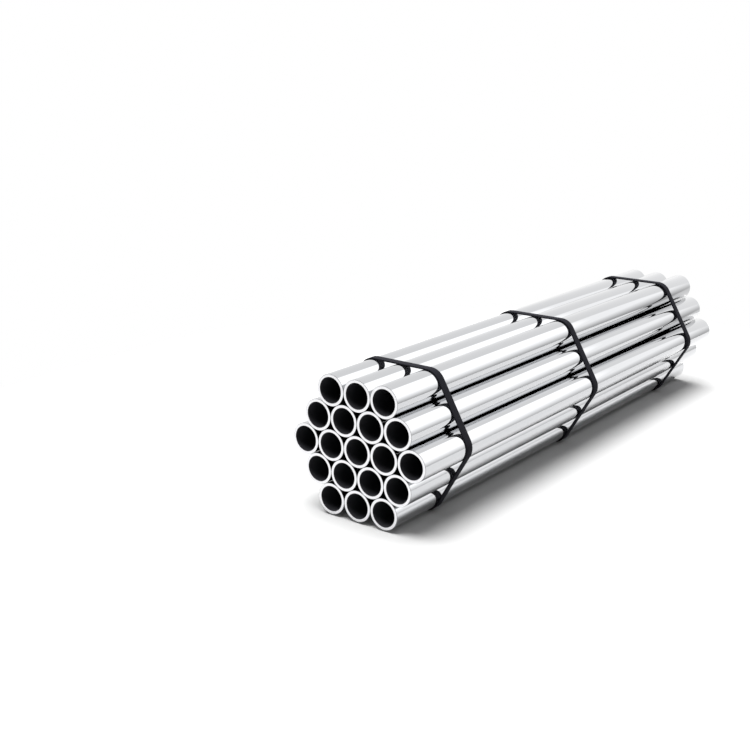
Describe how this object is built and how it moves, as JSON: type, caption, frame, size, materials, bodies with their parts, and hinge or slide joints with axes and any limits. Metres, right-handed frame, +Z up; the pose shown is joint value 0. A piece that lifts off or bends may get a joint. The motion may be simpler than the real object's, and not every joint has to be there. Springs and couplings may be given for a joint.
{
  "type": "bundle of steel pipes",
  "caption": "Hexagonal bundle of round thick-walled steel pipes with open ends, held together by flat plastic straps.",
  "frame": {"origin": "centre of the bundle's footprint, on the level that the straps' undersides rest on", "axes": "+X along the pipes, away from the end named near; +Z up; +Y to the left as seen from the near end looking along +X"},
  "size_m": [1.175, 0.2918, 0.2611],
  "materials": {
    "polished_steel": "mirror-polished stainless tube, bright sawn ends",
    "strap_plastic": "black extruded polypropylene strapping, satin"
  },
  "bodies": {
    "root": {"pipe_row1_1": "polished_steel", "pipe_row1_2": "polished_steel", "pipe_row1_3": "polished_steel", "pipe_row2_1": "polished_steel", "pipe_row2_2": "polished_steel", "pipe_row2_3": "polished_steel", "pipe_row2_4": "polished_steel", "pipe_row3_1": "polished_steel", "pipe_row3_2": "polished_steel", "pipe_row3_3": "polished_steel", "pipe_row3_4": "polished_steel", "pipe_row3_5": "polished_steel", "pipe_row4_1": "polished_steel", "pipe_row4_2": "polished_steel", "pipe_row4_3": "polished_steel", "pipe_row4_4": "polished_steel", "pipe_row5_1": "polished_steel", "pipe_row5_2": "polished_steel", "pipe_row5_3": "polished_steel", "strap_near": "strap_plastic", "strap_middle": "strap_plastic", "strap_far": "strap_plastic"}
  },
  "joints": []
}
